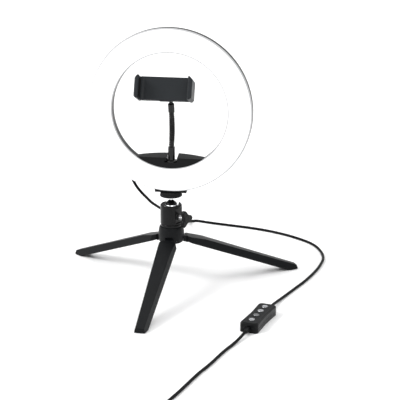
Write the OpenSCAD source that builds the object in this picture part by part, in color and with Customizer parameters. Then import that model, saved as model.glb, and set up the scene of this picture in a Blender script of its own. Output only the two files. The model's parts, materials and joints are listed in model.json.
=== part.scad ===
// LED ring light on a folding mini tripod with a ball head, a phone clamp on a gooseneck
// inside the ring, and a USB cord with an inline remote.
// The ring faces -Y and +Z is up. The floor is z = 0.

/* [Ring] */
// Outside diameter of the ring
ring_d = 200; // [196:1:204]
// Diameter of the ring's hole
hole_d = 141.4; // [139:0.2:143]
// Front to back depth of the ring
ring_depth = 14; // [14:0.5:16]
// Height of the ring's centre above the floor
ring_z = 220.6; // [220:0.2:221.2]
// Number of LEDs in each of the two rows
led_count = 48; // [12:12:48]

/* [Gooseneck] */
// Diameter of the ribbed tube
neck_d = 7.1; // [7:0.1:7.4]
// Length of one jointed section
link_len = 8; // [7.6:0.1:8.2]
// Sideways lean of the lowest section, in degrees
neck_bow = 4; // [0:1:5]
// Forward lean of the middle sections, in degrees
neck_nod = 21; // [16:1:23]
// Lean to the right that goes with it, in degrees
neck_side = 3.5; // [2:0.5:4]

/* [Phone clamp] */
// Gap between the jaws when the clamp is closed
clamp_gap = 60; // [58:1:62]
// How far the clamp opens beyond that
clamp_travel = 26; // [10:1:26]
// Height of the back plate
clamp_h = 28; // [27:0.5:29]
// Lean of the clamp away from upright, in degrees
clamp_lean = 22; // [14:1:24]

/* [Ball head] */
// Diameter of the ball
ball_d = 16.4; // [16:0.1:16.6]
// Diameter of the head's body
head_d = 26.7; // [26.4:0.1:28]
// Diameter of the platform under the ring
platform_d = 27.4; // [26:0.2:28]

/* [Tripod] */
// Radius of the circle through the tips of the open legs
tip_r = 168; // [165:1:171]
// Width of a leg's flat top
leg_top_w = 10; // [9:0.5:11]
// Width of a leg at its underside
leg_base_w = 15.5; // [14:0.5:16]
// Diameter of the hub
hub_d = 32; // [31:0.5:33]

/* [Cord] */
// Diameter of the cord
cord_d = 3.5; // [3:0.1:3.8]
// Length of the remote
remote_len = 66; // [64:1:68]
// Width of the remote
remote_w = 22; // [21:0.5:23]
// Height of the remote
remote_h = 12; // [11.5:0.5:12.5]

/* [Hidden] */
$fn = 64;

front_leg = 268.5;
leg_angles = [front_leg, front_leg - 240, front_leg - 120];
// The tripod's axis stands behind the middle of the three feet.
axis_x = -2;
axis_y = 37.4;

// Ring
ring_r = ring_d / 2;
hole_r = hole_d / 2;
wall = 1.6;
front_y = -8;
back_y = front_y + ring_depth;
seam_y = front_y + 3.6;
skin_y = front_y + wall;
board_y = back_y - 6;
led_size = 2.8;
led_rows = [79.5, 91.5];
screw_angles = [20, 70, 110, 160, 200, 340];
screw_ring_r = 85.5;

// Bridge across the bottom of the hole, and the notch that the gooseneck stands in
chord_v = -57.7;
arch_v = -54.4;
arch_r = 236;
neck_x = 1;
neck_y = -0.5;
notch_half = 7.75;
notch_left = 5;
flange_r = 7.2;
flange_h = 1.4;
notch_v = -63.4;
cover_front = front_y + 0.5;
cover_back = cover_front + wall;

// Foot under the ring
foot_half = 19.5;
foot_z = 118.5;
insert_r = 3.7;
insert_h = 4.7;
stud_r = 3.17;
foot_front = seam_y + 0.1;

// Gooseneck
link_count = 6;
rib_len = 1.2;
rib_pitch = link_len / 3;
rib_gap = (rib_pitch - rib_len) / 2;
joint_z0 = 176.4;
core_r = neck_d / 2 - 0.85;
socket_r = core_r + 0.25;
sleeve_r = 4.2;
sleeve_len = joint_z0 - rib_gap - ring_z - notch_v;
ferrule_len = 10;
neck_stem = 6.8;
neck_ball_r = 4.4;

// The neck bows gently to one side and brings the clamp forward, clear of the ring.
function lean(i) = neck_bow * (1 - i / 3.2) + neck_side * sin(180 * (i + 1) / 7);
function nod(i) = neck_nod * sin(180 * (i + 1) / 7);
function way_up(i) = [cos(nod(i)) * sin(lean(i)), -sin(nod(i)), cos(nod(i)) * cos(lean(i))];
function joint_at(i) = i == 0 ? [neck_x, neck_y, joint_z0] : joint_at(i - 1) + link_len * way_up(i - 1);
ferrule_at = joint_at(link_count);
last_link = link_count - 1;
ball_at = ferrule_at + (ferrule_len + neck_stem) * way_up(last_link);

// Phone clamp, in its own frame: the neck ball is the origin and -Y is its front
plate_front = -10.8;
plate_back = -3.4;
plate_lo = -5;
plate_hi = plate_lo + clamp_h;
plate_mid = (plate_lo + plate_hi) / 2;
jaw_lo = plate_lo - 0.4;
jaw_hi = plate_hi - 0.8;
jaw_reach = 16;
jaw_t = 4.6;
root_r = 5;
right_x = 24.6;
left_x = right_x - clamp_gap;
split_x = left_x + 0.6;
tongue_h = 17;
tongue_t = 3.4;
tongue_y = (plate_front + plate_back) / 2;
tongue_z = plate_mid + 2.4;
tongue_len = clamp_travel + 10;
liner_r = 6.2;
boss_r = 8.4;
boss_lo = -1.9;

// Ball head
head_r = head_d / 2;
ball_r = ball_d / 2;
ball_z = 98.4;
head_lo = 78.2;
rim_z = 103;
bowl_r = ball_r + 0.25;
lip_up = 2.4;
skirt_r = 7.2;
neck_r = 2.2;
platform_z = 112.9;
cup_r = 6.5;
knob_angle = -26;
knob_z = 87.5;
flat_r = 11.6;
knob_r0 = flat_r + 2;
slot_half = 7.9;
slot_from = 3.6;
knob_hub = 6.4;
lobe_at = 8.4;

// Tripod
hub_lo = 55;
hub_hi = 74.6;
hub_r = hub_d / 2;
pivot_r = 11;
pivot_z = 59;
pin_r = 1.5;
tongue_w = 9;
tongue_r = 3.6;
foot_pad_h = 0.8;
elbow = [43, 54.7];
shoulder_r = 19.5;
shoulder_half = 12.6;
sole_r = 151.5;
leg_taper = 1.7;
// Fall of a leg's flat top for each millimetre outwards
leg_fall = 0.394;
tip_top = elbow + (tip_r - 0.8 - elbow[0]) * [1, -leg_fall];

// Remote, in its own frame: X along its length, the floor at 0
remote_at = [123.7, -113.1, 0];
remote_turn = 257;
boot_len = 10;
cord_up = 4.6;
remote_split = 5.2;
boot_tip = remote_len / 2 + boot_len;
function remote_end(s) =
    remote_at + [s * boot_tip * cos(remote_turn), s * boot_tip * sin(remote_turn), cord_up];
button_pitch = 14.4;
button_r = 3.5;
button_up = 0.9;

// Cord. Routes are measured from the tripod's axis.
cord_r = cord_d / 2;
exit_at = [-53, back_y, 144];
relief_len = 10;
route_ring = [
    [-53, 16, 144], [-54, 21, 141.2], [-55.3, 27, 133.5], [-55, 30, 124], [-51.5, 34, 114],
    [-46.5, 39, 104.5], [-41.5, 46.5, 95.5], [-36.7, 55, 86.5]
];
route_side = [
    [-36.4, 55.6, 86], [-32.5, 63, 80], [-28.6, 72, 73.7], [-26, 83, 67.5], [-25, 96, 61], [-24.5, 111, 54]
];
route_pan = [
    [-24.5, 111.8, 53.7], [-24, 128, 46.5], [-23.5, 146, 38.5], [-23, 165, 30], [-22.5, 184, 21.5],
    [-22, 204, 13.6], [-22, 220, 7.6], [-21.5, 234, 3.8], [-18.5, 243.5, 2.2], [-11, 247.5, 1.75],
    [0, 244.4, 1.75]
];
route_floor = [
    [0.9, 244.1, 1.75], [12, 241, 1.75], [24, 238, 1.75], [45, 233.5, 1.75], [67, 228.5, 1.75],
    [89, 221.5, 1.75], [109, 212.5, 1.75], [127, 202, 1.75], [143, 190, 1.75], [156, 178, 1.75],
    [166, 164, 1.75],
    [173, 148, 1.75], [178, 131, 1.75], [180, 114, 1.75], [179, 97, 1.75], [176, 76, 1.75],
    [171, 53, 1.75], [163.5, 26, 1.75], [154.5, 0, 1.75], [145, -28, 1.9], [139, -47, 2.6],
    [135.5, -61, 3.8], remote_end(-1)
];
route_plug = [
    remote_end(1), [111.7, -163, 3.8], [108, -175, 2.6], [103.5, -188, 1.9], [99.3, -200, 1.75],
    [94.5, -217, 1.75], [90, -235, 1.75], [85.5, -250, 1.75], [81, -264, 1.75], [77, -279, 1.75],
    [73, -295, 1.75], [69, -311, 1.75], [64.5, -327, 1.75], [59.5, -343, 1.75], [54, -356.5, 1.75],
    [47.2, -368.7, 1.75]
];
route_tail = [[74, -415.2, 4.6], [81, -415.2, 3], [90, -415.2, 3], [100, -415.2, 4.6]];
coil_at = [64, -390, 0];
coil_r = 20;
plug_at = [100, -415.2, 0];

// Shapes used by several sub-parts

// Moves a sub-part from the tripod's axis to the model's origin.
module on_axis() translate([axis_x, axis_y, 0]) children();

// Extrudes an outline drawn as seen from the front, from y0 (nearer the front) to y1.
module front(y0, y1) translate([0, y1, 0]) rotate([90, 0, 0]) linear_extrude(y1 - y0) children();

// The same, with the outline measured from the ring's centre.
module ring_front(y0, y1) translate([0, 0, ring_z]) front(y0, y1) children();

// Turns a profile of [radius, y] points around the ring's axis.
module ring_turn() translate([0, 0, ring_z]) rotate([90, 0, 0]) rotate_extrude($fn = 120) children();

function flip(points) = [for (p = points) [p[0], -p[1]]];

function arc(cx, cy, r, a0, a1, n) =
    [for (i = [0 : n]) [cx + r * cos(a0 + (a1 - a0) * i / n), cy + r * sin(a0 + (a1 - a0) * i / n)]];

// A tube swept along a route, one ring of points at each route point.
module tube(route, radius, sides = 8) {
    n = len(route);
    function way(i) = route[min(i + 1, n - 1)] - route[max(i - 1, 0)];
    function side(i) = let (d = way(i) / norm(way(i)), s = cross(d, [0, 0, 1])) s / norm(s);
    function up(i) = let (d = way(i) / norm(way(i))) cross(side(i), d);
    points = [
        for (i = [0 : n - 1]) for (k = [0 : sides - 1]) let (a = 360 * (k + 0.5) / sides)
            route[i] + radius * (cos(a) * side(i) + sin(a) * up(i))
    ];
    faces = concat(
        [[for (k = [0 : sides - 1]) k]],
        [[for (k = [sides - 1 : -1 : 0]) (n - 1) * sides + k]],
        [for (i = [0 : n - 2]) for (k = [0 : sides - 1]) let (m = (k + 1) % sides)
            [i * sides + k, (i + 1) * sides + k, (i + 1) * sides + m]],
        [for (i = [0 : n - 2]) for (k = [0 : sides - 1]) let (m = (k + 1) % sides)
            [i * sides + k, (i + 1) * sides + m, i * sides + m]]
    );
    polyhedron(points, faces);
}

// Ring

module front_diffuser() color("white") {
    profile = concat(
        [[hole_r, skin_y], [hole_r, front_y + 1.2], [hole_r + 1.2, front_y]],
        arc(ring_r - 3, front_y + 3, 3, -90, 0, 4),
        [[ring_r, seam_y], [ring_r - wall, seam_y], [ring_r - wall, front_y + 3.2], [ring_r - 3, skin_y]]
    );
    ring_turn() polygon(flip(profile));
}

module ring_channel() {
    profile = concat(
        [[hole_r, skin_y], [hole_r + wall, skin_y], [hole_r + wall, back_y - wall],
         [ring_r - wall - 1.4, back_y - wall], [ring_r - wall, back_y - wall - 1.4],
         [ring_r - wall, seam_y], [ring_r, seam_y]],
        arc(ring_r - 3, back_y - 3, 3, 0, 90, 4),
        arc(hole_r + 2, back_y - 2, 2, 90, 180, 3)
    );
    ring_turn() polygon(flip(profile));
}

// Everything below the bridge's top: flat at the front, rising to a low arch at the back.
module bridge_top() {
    translate([0, 0, ring_z + arch_v - arch_r]) rotate([-90, 0, 0])
        translate([0, 0, -40]) cylinder(r = arch_r, h = 80, $fn = 120);
}

module bridge_slope() {
    translate([0, cover_back, ring_z + chord_v]) rotate([15, 0, 0])
        translate([-80, -10, -60]) cube([160, 40, 60]);
}

module notch(extra = 0) {
    translate([neck_x - notch_half - extra, -30, ring_z + notch_v - extra])
        cube([2 * (notch_half + extra), 60, flange_h + 0.6 + 2 * extra]);
    translate([neck_x - notch_left - extra, -30, ring_z + notch_v - extra])
        cube([notch_left + notch_half + 2 * extra, 60, 40]);
}

module bridge_block() {
    difference() {
        intersection() {
            ring_front(cover_back, back_y) circle(r = hole_r + 0.6, $fn = 120);
            bridge_top();
            bridge_slope();
        }
        notch();
        difference() {
            ring_front(cover_back - 1, back_y - wall) intersection() {
                circle(r = hole_r - 0.5, $fn = 120);
                translate([-60, -90]) square([120, 90 + chord_v - 2.2]);
            }
            notch(1.8);
        }
        ring_front(cover_back - 1, back_y - wall) intersection() {
            circle(r = hole_r - 0.5, $fn = 120);
            translate([-22, -90]) square([44, 90 + notch_v - 2]);
        }
        translate([neck_x, neck_y, ring_z - hole_r]) cylinder(r = 3, h = 12);
    }
}

module foot_block() {
    difference() {
        union() {
            translate([-foot_half, foot_front, foot_z]) cube([2 * foot_half, back_y - 1 - foot_front, 5.5]);
            intersection() {
                translate([0, 0, foot_z]) cylinder(r = insert_r + 1.6, h = insert_h + 0.4);
                translate([-10, foot_front, foot_z]) cube([20, 20, 12]);
            }
        }
        difference() {
            ring_front(-20, 20) circle(r = ring_r - 0.8, $fn = 120);
            translate([0, 0, foot_z - 1]) cylinder(r = insert_r + 1.6, h = 12);
        }
    }
}

module rear_housing() color("#1d1f21") difference() {
    union() {
        ring_channel();
        bridge_block();
        foot_block();
        for (a = screw_angles) translate([0, 0, ring_z]) rotate([0, -a, 0])
            translate([screw_ring_r, back_y - 6, 0]) rotate([-90, 0, 0]) cylinder(r = 3, h = 5);
    }
    for (a = screw_angles) translate([0, 0, ring_z]) rotate([0, -a, 0])
        translate([screw_ring_r, 0, 0]) rotate([-90, 0, 0]) cylinder(r = 1.4, h = 20);
    translate([exit_at[0], 0, exit_at[2]]) rotate([-90, 0, 0]) cylinder(r = 3.1, h = 20);
    translate([0, 0, foot_z - 1]) cylinder(r = insert_r, h = insert_h + 1);
}

module led_board() color("whitesmoke") ring_turn() polygon(flip([
    [hole_r + wall + 1, board_y - 1.2], [ring_r - wall - 1.6, board_y - 1.2],
    [ring_r - wall - 1.6, board_y], [hole_r + wall + 1, board_y]
]));

// Every second LED of both rows, starting from the given one.
module led_set(first) {
    for (i = [first : 2 : led_count - 1]) for (r = led_rows)
        translate([0, 0, ring_z]) rotate([0, 360 * (i + 0.5) / led_count, 0])
            translate([-led_size / 2, board_y - 2, r - led_size / 2]) cube([led_size, 0.8, led_size]);
}

module leds_warm() color("khaki") led_set(0);

module leds_white() color("ivory") led_set(1);

module housing_screws() color("silver") for (a = screw_angles)
    translate([0, 0, ring_z]) rotate([0, -a, 0]) translate([screw_ring_r, back_y, 0]) rotate([90, 0, 0])
        difference() {
            union() {
                translate([0, 0, -0.6]) cylinder(r = 2.4, h = 0.6);
                cylinder(r = 1.4, h = 5.5);
            }
            translate([0, 0, -1]) cylinder(r = 1, h = 0.9, $fn = 6);
        }

module foot_insert() color("goldenrod") translate([0, 0, foot_z]) difference() {
    cylinder(r = insert_r, h = insert_h);
    translate([0, 0, -1]) cylinder(r = stud_r, h = 12);
}

module bridge_cover() color("#2b2d30") difference() {
    ring_front(cover_front, cover_back) intersection() {
        circle(r = hole_r - 0.1, $fn = 120);
        translate([-60, -90]) square([120, 90 + chord_v]);
    }
    notch();
}

// Gooseneck

module neck_nut() color("silver") translate([neck_x, neck_y, ring_z + notch_v - 5.9]) difference() {
    cylinder(r = 5, h = 3.7, $fn = 6);
    translate([0, 0, -1]) cylinder(r = 3, h = 6);
}

// A rib of the tube, round-edged.
module rib(z) translate([0, 0, z]) rotate_extrude() polygon(concat(
    [[0, 0], [neck_d / 2 - 0.35, 0]], arc(neck_d / 2 - 0.35, rib_len / 2, 0.35, -60, 60, 3),
    [[neck_d / 2 - 0.35, rib_len], [0, rib_len]]
));

module neck_sleeve() color("#151515") translate([neck_x, neck_y, 0]) {
    translate([0, 0, ring_z + notch_v - 6]) cylinder(r = 3, h = 6.1);
    translate([0, 0, ring_z + notch_v]) rotate_extrude() polygon([
        [0, 0], [flange_r, 0], [flange_r, flange_h], [sleeve_r, flange_h + 0.8],
        [sleeve_r, sleeve_len - 0.6], [sleeve_r - 0.6, sleeve_len], [0, sleeve_len]
    ]);
    translate([0, 0, joint_z0 - rib_gap - 0.1]) cylinder(r = core_r, h = rib_gap + 0.1);
    translate([0, 0, joint_z0]) sphere(r = core_r);
}

// Section i of the tube: three ribs on a core, a socket at the bottom and a ball or the ferrule on top.
module link_frame(i) translate(joint_at(i)) rotate([nod(i), 0, 0]) rotate([0, lean(i), 0]) children();

module neck_link(i) color("#1a1a1a") link_frame(i) difference() {
    union() {
        translate([0, 0, rib_gap]) cylinder(r = core_r, h = link_len - rib_gap);
        for (k = [0 : 2]) rib(rib_gap + k * rib_pitch);
        if (i == last_link) {
            translate([0, 0, link_len]) neck_ferrule();
        } else {
            translate([0, 0, link_len]) sphere(r = core_r);
        }
    }
    sphere(r = socket_r);
}

module neck_ferrule() {
    translate([0, 0, -rib_gap]) cylinder(r = 3.85, h = ferrule_len + rib_gap - 0.8);
    translate([0, 0, ferrule_len - 0.8]) cylinder(r1 = 3.85, r2 = 3.1, h = 0.8);
    cylinder(r = 1.2, h = ferrule_len + 1.2);
}

module neck_ball() color("silver") link_frame(last_link) translate([0, 0, link_len + ferrule_len]) {
    translate([0, 0, neck_stem]) sphere(r = neck_ball_r);
    difference() {
        translate([0, 0, 0.05]) cylinder(r = 2.2, h = neck_stem);
        translate([0, 0, -0.1]) cylinder(r = 1.25, h = 1.5);
    }
}

// Phone clamp

module clamp_frame() translate(ball_at) rotate([-clamp_lean, 0, 0]) children();

module socket_liner() color("#101010") clamp_frame() difference() {
    sphere(r = liner_r);
    sphere(r = neck_ball_r + 0.25);
    translate([-10, -10, -11.9]) cube([20, 20, 10]);
    translate([-10, -10, 4.6]) cube([20, 20, 10]);
}

// A jaw drawn from above: it reaches forward from a rounded root, and its tip hooks towards +X.
module jaw_outline(t, gap) polygon(concat(
    [[0, plate_back], [-t + 1, plate_back]], [[-t, plate_back - 1.5]],
    [[-t, plate_front - jaw_reach + 2]], arc(-t + 2, plate_front - jaw_reach + 2, 2, 180, 270, 3),
    arc(-0.6, plate_front - jaw_reach + 1.5, 1.5, -90, 60, 4), [[0, plate_front - jaw_reach + 4]],
    arc(root_r, plate_front - root_r - gap, root_r, 180, 90, 6), [[0, plate_front - gap]]
));

// Its outline from the front: the outer corners are cut away, more at the top.
module jaw_face(t) polygon([
    [root_r, jaw_lo], [root_r, plate_hi - 0.5], [1.4, jaw_hi], [-1.4, jaw_hi], [-t, jaw_hi - 4.2],
    [-t, jaw_lo + 2.4], [-t + 2.4, jaw_lo]
]);

module jaw(t, gap) intersection() {
    translate([0, 0, jaw_lo]) linear_extrude(jaw_hi - jaw_lo) jaw_outline(t, gap);
    rotate([90, 0, 0]) linear_extrude(100, center = true) jaw_face(t);
}

module clamp_body() color("#3c4043") clamp_frame() difference() {
    union() {
        translate([split_x, plate_front, plate_lo])
            cube([right_x - split_x + 0.1, plate_back - plate_front, clamp_h]);
        translate([right_x, 0, 0]) mirror([1, 0, 0]) jaw(jaw_t, -0.3);
        translate([0, 0, boss_lo]) cylinder(r = boss_r, h = 12);
        translate([0, 0, boss_lo + 12]) cylinder(r1 = boss_r, r2 = boss_r - 3, h = 4);
        translate([-boss_r, plate_back - 1, boss_lo]) cube([2 * boss_r, 2.4, 16]);
        translate([-11.3, plate_front + 0.4, plate_lo - 0.9]) cube([14, 4, 1.5]);
    }
    sphere(r = liner_r + 0.25);
    translate([0, 0, -12]) cylinder(r = 5.9, h = 12);
    translate([split_x - 1, tongue_y - tongue_t / 2 - 0.15, tongue_z - tongue_h / 2 - 0.15])
        cube([tongue_len + 7, tongue_t + 0.3, tongue_h + 0.3]);
}

module clamp_jaw() color("#2a2c2e") clamp_frame() difference() {
    union() {
        translate([left_x, 0, 0]) jaw(jaw_t, 0.15);
        translate([left_x - 1, tongue_y - tongue_t / 2, tongue_z - tongue_h / 2])
            cube([tongue_len + 5, tongue_t, tongue_h]);
    }
    translate([split_x + 3, tongue_y - 3, tongue_z - 2]) cube([tongue_len - 9, 6, 4]);
    translate([-liner_r - 2, 0, 0]) rotate([0, 90, 0]) cylinder(r = liner_r + 0.35, h = tongue_len);
}

module jaw_pad() translate([0, plate_front - jaw_reach + 3.6, jaw_lo + 2])
    cube([1.2, jaw_reach - root_r - 3.4, jaw_hi - jaw_lo - 5.5]);

module clamp_pad_right() color("#141414") clamp_frame()
    translate([right_x, 0, 0]) mirror([1, 0, 0]) jaw_pad();

module clamp_pad_left() color("#141414") clamp_frame() translate([left_x, 0, 0]) jaw_pad();

module clamp_spring() color("silver") clamp_frame()
    translate([split_x + 3.2, tongue_y, tongue_z]) rotate([0, 90, 0]) difference() {
        cylinder(r = 1.5, h = tongue_len - 9.4);
        translate([0, 0, -1]) cylinder(r = 1, h = 80);
    }

// Ball head

module platform() color("#1a1b1c") difference() {
    translate([0, 0, platform_z]) rotate_extrude() polygon([
        [0, 0], [platform_d / 2 - 1.2, 0], [platform_d / 2, 0.9], [platform_d / 2, 2.4],
        [platform_d / 2 - 0.5, 2.9], [0, 2.9]
    ]);
    translate([0, 0, platform_z + 0.5]) cylinder(r = stud_r, h = 6);
}

module platform_pad() color("#0f0f0f") difference() {
    translate([0, 0, platform_z + 2.9]) cylinder(r = platform_d / 2 - 0.5, h = foot_z - platform_z - 2.9);
    translate([0, 0, platform_z]) cylinder(r = stud_r, h = 8);
    for (r = [7, 10]) translate([0, 0, foot_z - 0.5]) difference() {
        cylinder(r = r + 0.5, h = 1);
        translate([0, 0, -1]) cylinder(r = r - 0.5, h = 3);
    }
}

module platform_screw() color("silver") translate([0, 0, platform_z + 0.5])
    cylinder(r = stud_r, h = foot_z + insert_h - 0.3 - platform_z - 0.5);

module ball_stem() color("#111111") translate([0, 0, ball_z]) rotate_extrude() polygon(concat(
    arc(0, 0, bowl_r, 90, acos(skirt_r / bowl_r), 8),
    [[skirt_r, 5.3], [4.9, 7.9], [3.2, 10], [neck_r, 11.5], [neck_r, 13.4],
     [neck_r + 1.8, platform_z - ball_z], [0, platform_z - ball_z]]
));

module head_ball() color("silver") translate([0, 0, ball_z]) sphere(r = ball_r);

module knob_axis() translate([0, 0, knob_z]) rotate([0, 0, knob_angle]) rotate([0, 90, 0]) children();

// The round bottom of the notch that the stem drops into when the ring is laid back.
module drop_notch() translate([0, slot_from, ball_z]) rotate([-90, 0, 0]) cylinder(r = slot_half, h = 20);

module head_body() color("#26282a") difference() {
    rotate_extrude() polygon([
        [0, head_lo], [head_r - 0.6, head_lo], [head_r, head_lo + 0.6], [head_r, rim_z - 1.4],
        [head_r - 1, rim_z], [head_r - 1.7, rim_z], [head_r - 2.4, ball_z + lip_up + 1],
        [sqrt(bowl_r * bowl_r - lip_up * lip_up), ball_z + lip_up], [0, ball_z + lip_up]
    ]);
    translate([0, 0, ball_z]) sphere(r = bowl_r);
    translate([0, 0, ball_z - 15]) cylinder(r = cup_r + 0.05, h = 15);
    translate([-slot_half, slot_from, ball_z]) cube([2 * slot_half, 20, 20]);
    drop_notch();
    rotate([0, 0, knob_angle]) translate([flat_r, -20, head_lo + 2.4]) cube([20, 40, rim_z - head_lo - 6]);
    knob_axis() cylinder(r = 2.5, h = 20);
    translate([0, 0, head_lo - 1]) cylinder(r = stud_r + 0.05, h = 6.1);
}

module pressure_cup() color("ivory") difference() {
    translate([0, 0, ball_z - 14.8]) cylinder(r = cup_r, h = 12);
    translate([0, 0, ball_z]) sphere(r = bowl_r);
    knob_axis() translate([0, 0, 3]) cylinder(r = 2.7, h = 20);
    drop_notch();
}

module head_collar() color("#1b1c1e") difference() {
    translate([0, 0, hub_hi - 1.6]) rotate_extrude() polygon([
        [0, 0], [12.9, 0], [12.9, 4.2], [12.3, head_lo - hub_hi + 1.6], [0, head_lo - hub_hi + 1.6]
    ]);
    translate([0, 0, hub_hi - 3]) cylinder(r = stud_r + 0.05, h = 10);
}

module tripod_stud() color("silver") translate([0, 0, 64]) cylinder(r = stud_r, h = head_lo + 4.7 - 64);

module lock_screw() color("silver") knob_axis() {
    translate([0, 0, 5]) cylinder(r = 2.42, h = 10);
    translate([0, 0, 3.4]) cylinder(r1 = 1, r2 = 2.42, h = 1.6);
}

module lock_knob() color("#161718") knob_axis() translate([0, 0, knob_r0]) difference() {
    union() {
        cylinder(r1 = 3.6, r2 = 4.2, h = knob_hub);
        translate([0, 0, knob_hub - 0.6]) cylinder(r = 5.4, h = 5.4);
        for (a = [205, 325, 85]) rotate([0, 0, a]) {
            translate([lobe_at, 0, knob_hub]) cylinder(r = 3.2, h = 4.4);
            translate([1, -2.6, knob_hub + 0.2]) cube([lobe_at - 1, 5.2, 4]);
        }
    }
    translate([0, 0, -1]) cylinder(r = 2.42, h = 2.4);
}

// Tripod

module tripod_hub() color("#2c3032") difference() {
    rotate_extrude() polygon([
        [0, hub_lo + 1], [6, hub_lo], [hub_r - 2, hub_lo], [hub_r - 0.9, hub_lo + 1.4],
        [hub_r - 0.2, hub_lo + 5], [hub_r, hub_lo + 9.6], [hub_r - 0.3, hub_lo + 13.6],
        [hub_r - 0.9, hub_hi - 2.4], [hub_r - 1.7, hub_hi], [13.3, hub_hi], [13.3, hub_hi - 1.8],
        [0, hub_hi - 1.8]
    ]);
    translate([0, 0, 64]) cylinder(r = stud_r, h = 12);
    for (a = leg_angles) rotate([0, 0, a]) {
        translate([5.5, -tongue_w / 2 - 0.25, hub_lo - 2]) cube([20, tongue_w + 0.5, 10.2]);
        translate([pivot_r, 0, pivot_z]) rotate([90, 0, 0]) cylinder(r = pin_r, h = 19, center = true);
    }
}

module leg_pins() color("silver") for (a = leg_angles) rotate([0, 0, a])
    translate([pivot_r, 0, pivot_z]) rotate([90, 0, 0]) cylinder(r = pin_r, h = 18.6, center = true);

// The side of a leg, as [distance from the tripod's axis, height].
module leg_side() polygon([
    [shoulder_r, 60.9], elbow, tip_top, [tip_r, 2.2], [tip_r, foot_pad_h], [sole_r, foot_pad_h],
    [35.4, 46], [shoulder_r, 51.4]
]);

// A leg's sloping side on one hand, swung out towards the hub so that the leg tapers to its tip.
module leg_wall(hand) translate([tip_r, 0, 0]) rotate([0, 0, -hand * leg_taper])
    translate([elbow[0] - tip_r, 0, elbow[1]]) rotate([0, atan(leg_fall), 0]) translate([-45, 0, 0])
        rotate([90, 0, 90]) linear_extrude(220) polygon([
            [-hand * 30, -9.6], [hand * (leg_base_w / 2 - 1), -9.6], [hand * leg_base_w / 2, -7.8],
            [hand * leg_top_w / 2, 0], [-hand * 30, 0]
        ]);

module leg() color("#303336") difference() {
    union() {
        intersection() {
            rotate([90, 0, 0]) linear_extrude(30, center = true) leg_side();
            translate([0, 0, -10]) linear_extrude(90) polygon([
                [shoulder_r, -7.5], [shoulder_r + 6, -shoulder_half], [200, -shoulder_half],
                [200, shoulder_half], [shoulder_r + 6, shoulder_half], [shoulder_r, 7.5]
            ]);
            leg_wall(1);
            leg_wall(-1);
        }
        translate([pivot_r, 0, pivot_z]) rotate([90, 0, 0])
            cylinder(r = tongue_r, h = tongue_w, center = true);
        rotate([90, 0, 0]) linear_extrude(tongue_w, center = true) polygon([
            [pivot_r, pivot_z - tongue_r], [pivot_r, pivot_z + tongue_r],
            [shoulder_r + 1, 60.4], [shoulder_r + 1, 52]
        ]);
    }
    translate([pivot_r, 0, pivot_z]) rotate([90, 0, 0]) cylinder(r = pin_r + 0.06, h = 20, center = true);
    translate([sole_r + 4, -3.4, -1]) cube([11, 6.8, 2.6]);
}

module foot_pad() color("#0d0d0d") translate([sole_r + 4, -3.4, 0]) cube([11, 6.8, 1.6]);

module at_leg(i) rotate([0, 0, leg_angles[i]]) children();

// Cord and remote

module strain_relief() color("#101010") translate([exit_at[0], back_y - wall - 1.2, exit_at[2]])
    rotate([-90, 0, 0]) rotate_extrude() polygon([
        [0, 0], [4.4, 0], [4.4, 1.2], [3.1, 1.2], [3.1, 1.2 + wall], [4.2, 1.2 + wall], [4.2, 2.4 + wall],
        [3.4, 3.2 + wall], [cord_r + 0.5, 1.2 + wall + relief_len], [0, 1.2 + wall + relief_len]
    ]);

module cord_ring() color("#0c0c0c") tube(route_ring, cord_r);

module cord_side() color("#0c0c0c") tube(route_side, cord_r);

module cord_pan() color("#0c0c0c") tube(route_pan, cord_r);

module cord_floor() color("#0c0c0c") tube(route_floor, cord_r);

module cord_plug() color("#0c0c0c") tube(route_plug, cord_r);

module cord_coil() color("#0c0c0c") translate(coil_at) rotate_extrude()
    translate([coil_r - 2 * cord_d, 0]) square([4 * cord_d, 2 * cord_d]);

module cord_tail() color("#0c0c0c") tube(route_tail, cord_r);

module remote_frame() translate(remote_at) rotate([0, 0, remote_turn]) children();

// The remote's outline from above: rounded ends and slightly hollow sides.
module remote_outline(inset = 0) {
    a = remote_len / 2 - inset;
    b = remote_w / 2 - inset;
    polygon(concat(
        [[-a + 4, b], [-a + 14, b - 0.6], [0, b - 1.2], [a - 14, b - 0.6], [a - 4, b]],
        arc(a - 4, b - 4, 4, 67.5, 0, 3), arc(a - 4, -b + 4, 4, 0, -67.5, 3),
        [[a - 4, -b], [a - 14, -b + 0.6], [0, -b + 1.2], [-a + 14, -b + 0.6], [-a + 4, -b]],
        arc(-a + 4, -b + 4, 4, 247.5, 180, 3), arc(-a + 4, b - 4, 4, 180, 112.5, 3)
    ));
}

module remote_cavity(z0, z1) translate([0, 0, z0]) linear_extrude(z1 - z0) remote_outline(1.6);

module cord_entries() for (s = [0, 180]) rotate([0, 0, s])
    translate([remote_len / 2 - 3, 0, cord_up]) rotate([0, 90, 0]) cylinder(r = 2.6, h = 5);

module remote_base() color("#141414") remote_frame() difference() {
    linear_extrude(remote_split) remote_outline();
    remote_cavity(1.6, remote_h);
    cord_entries();
}

module remote_top() color("#1a1a1a") remote_frame() difference() {
    union() {
        translate([0, 0, remote_split]) linear_extrude(remote_h - remote_split - 1.6) remote_outline();
        translate([0, 0, remote_h - 1.6]) linear_extrude(0.9) remote_outline(0.5);
        translate([0, 0, remote_h - 0.7]) linear_extrude(0.7) remote_outline(1.3);
    }
    remote_cavity(remote_split - 1, remote_h - 1.8);
    for (i = [0 : 3]) translate([button_x(i), 0, 0]) cylinder(r = button_r + 0.2, h = 20);
    cord_entries();
}

module remote_board() color("darkgreen") remote_frame() {
    translate([-remote_len / 2 + 5, -6.5, 5.6]) cube([remote_len - 10, 13, 1.2]);
    for (x = [-22, 22]) translate([x, 0, 1.6]) cylinder(r = 1.8, h = 4);
}

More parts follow.
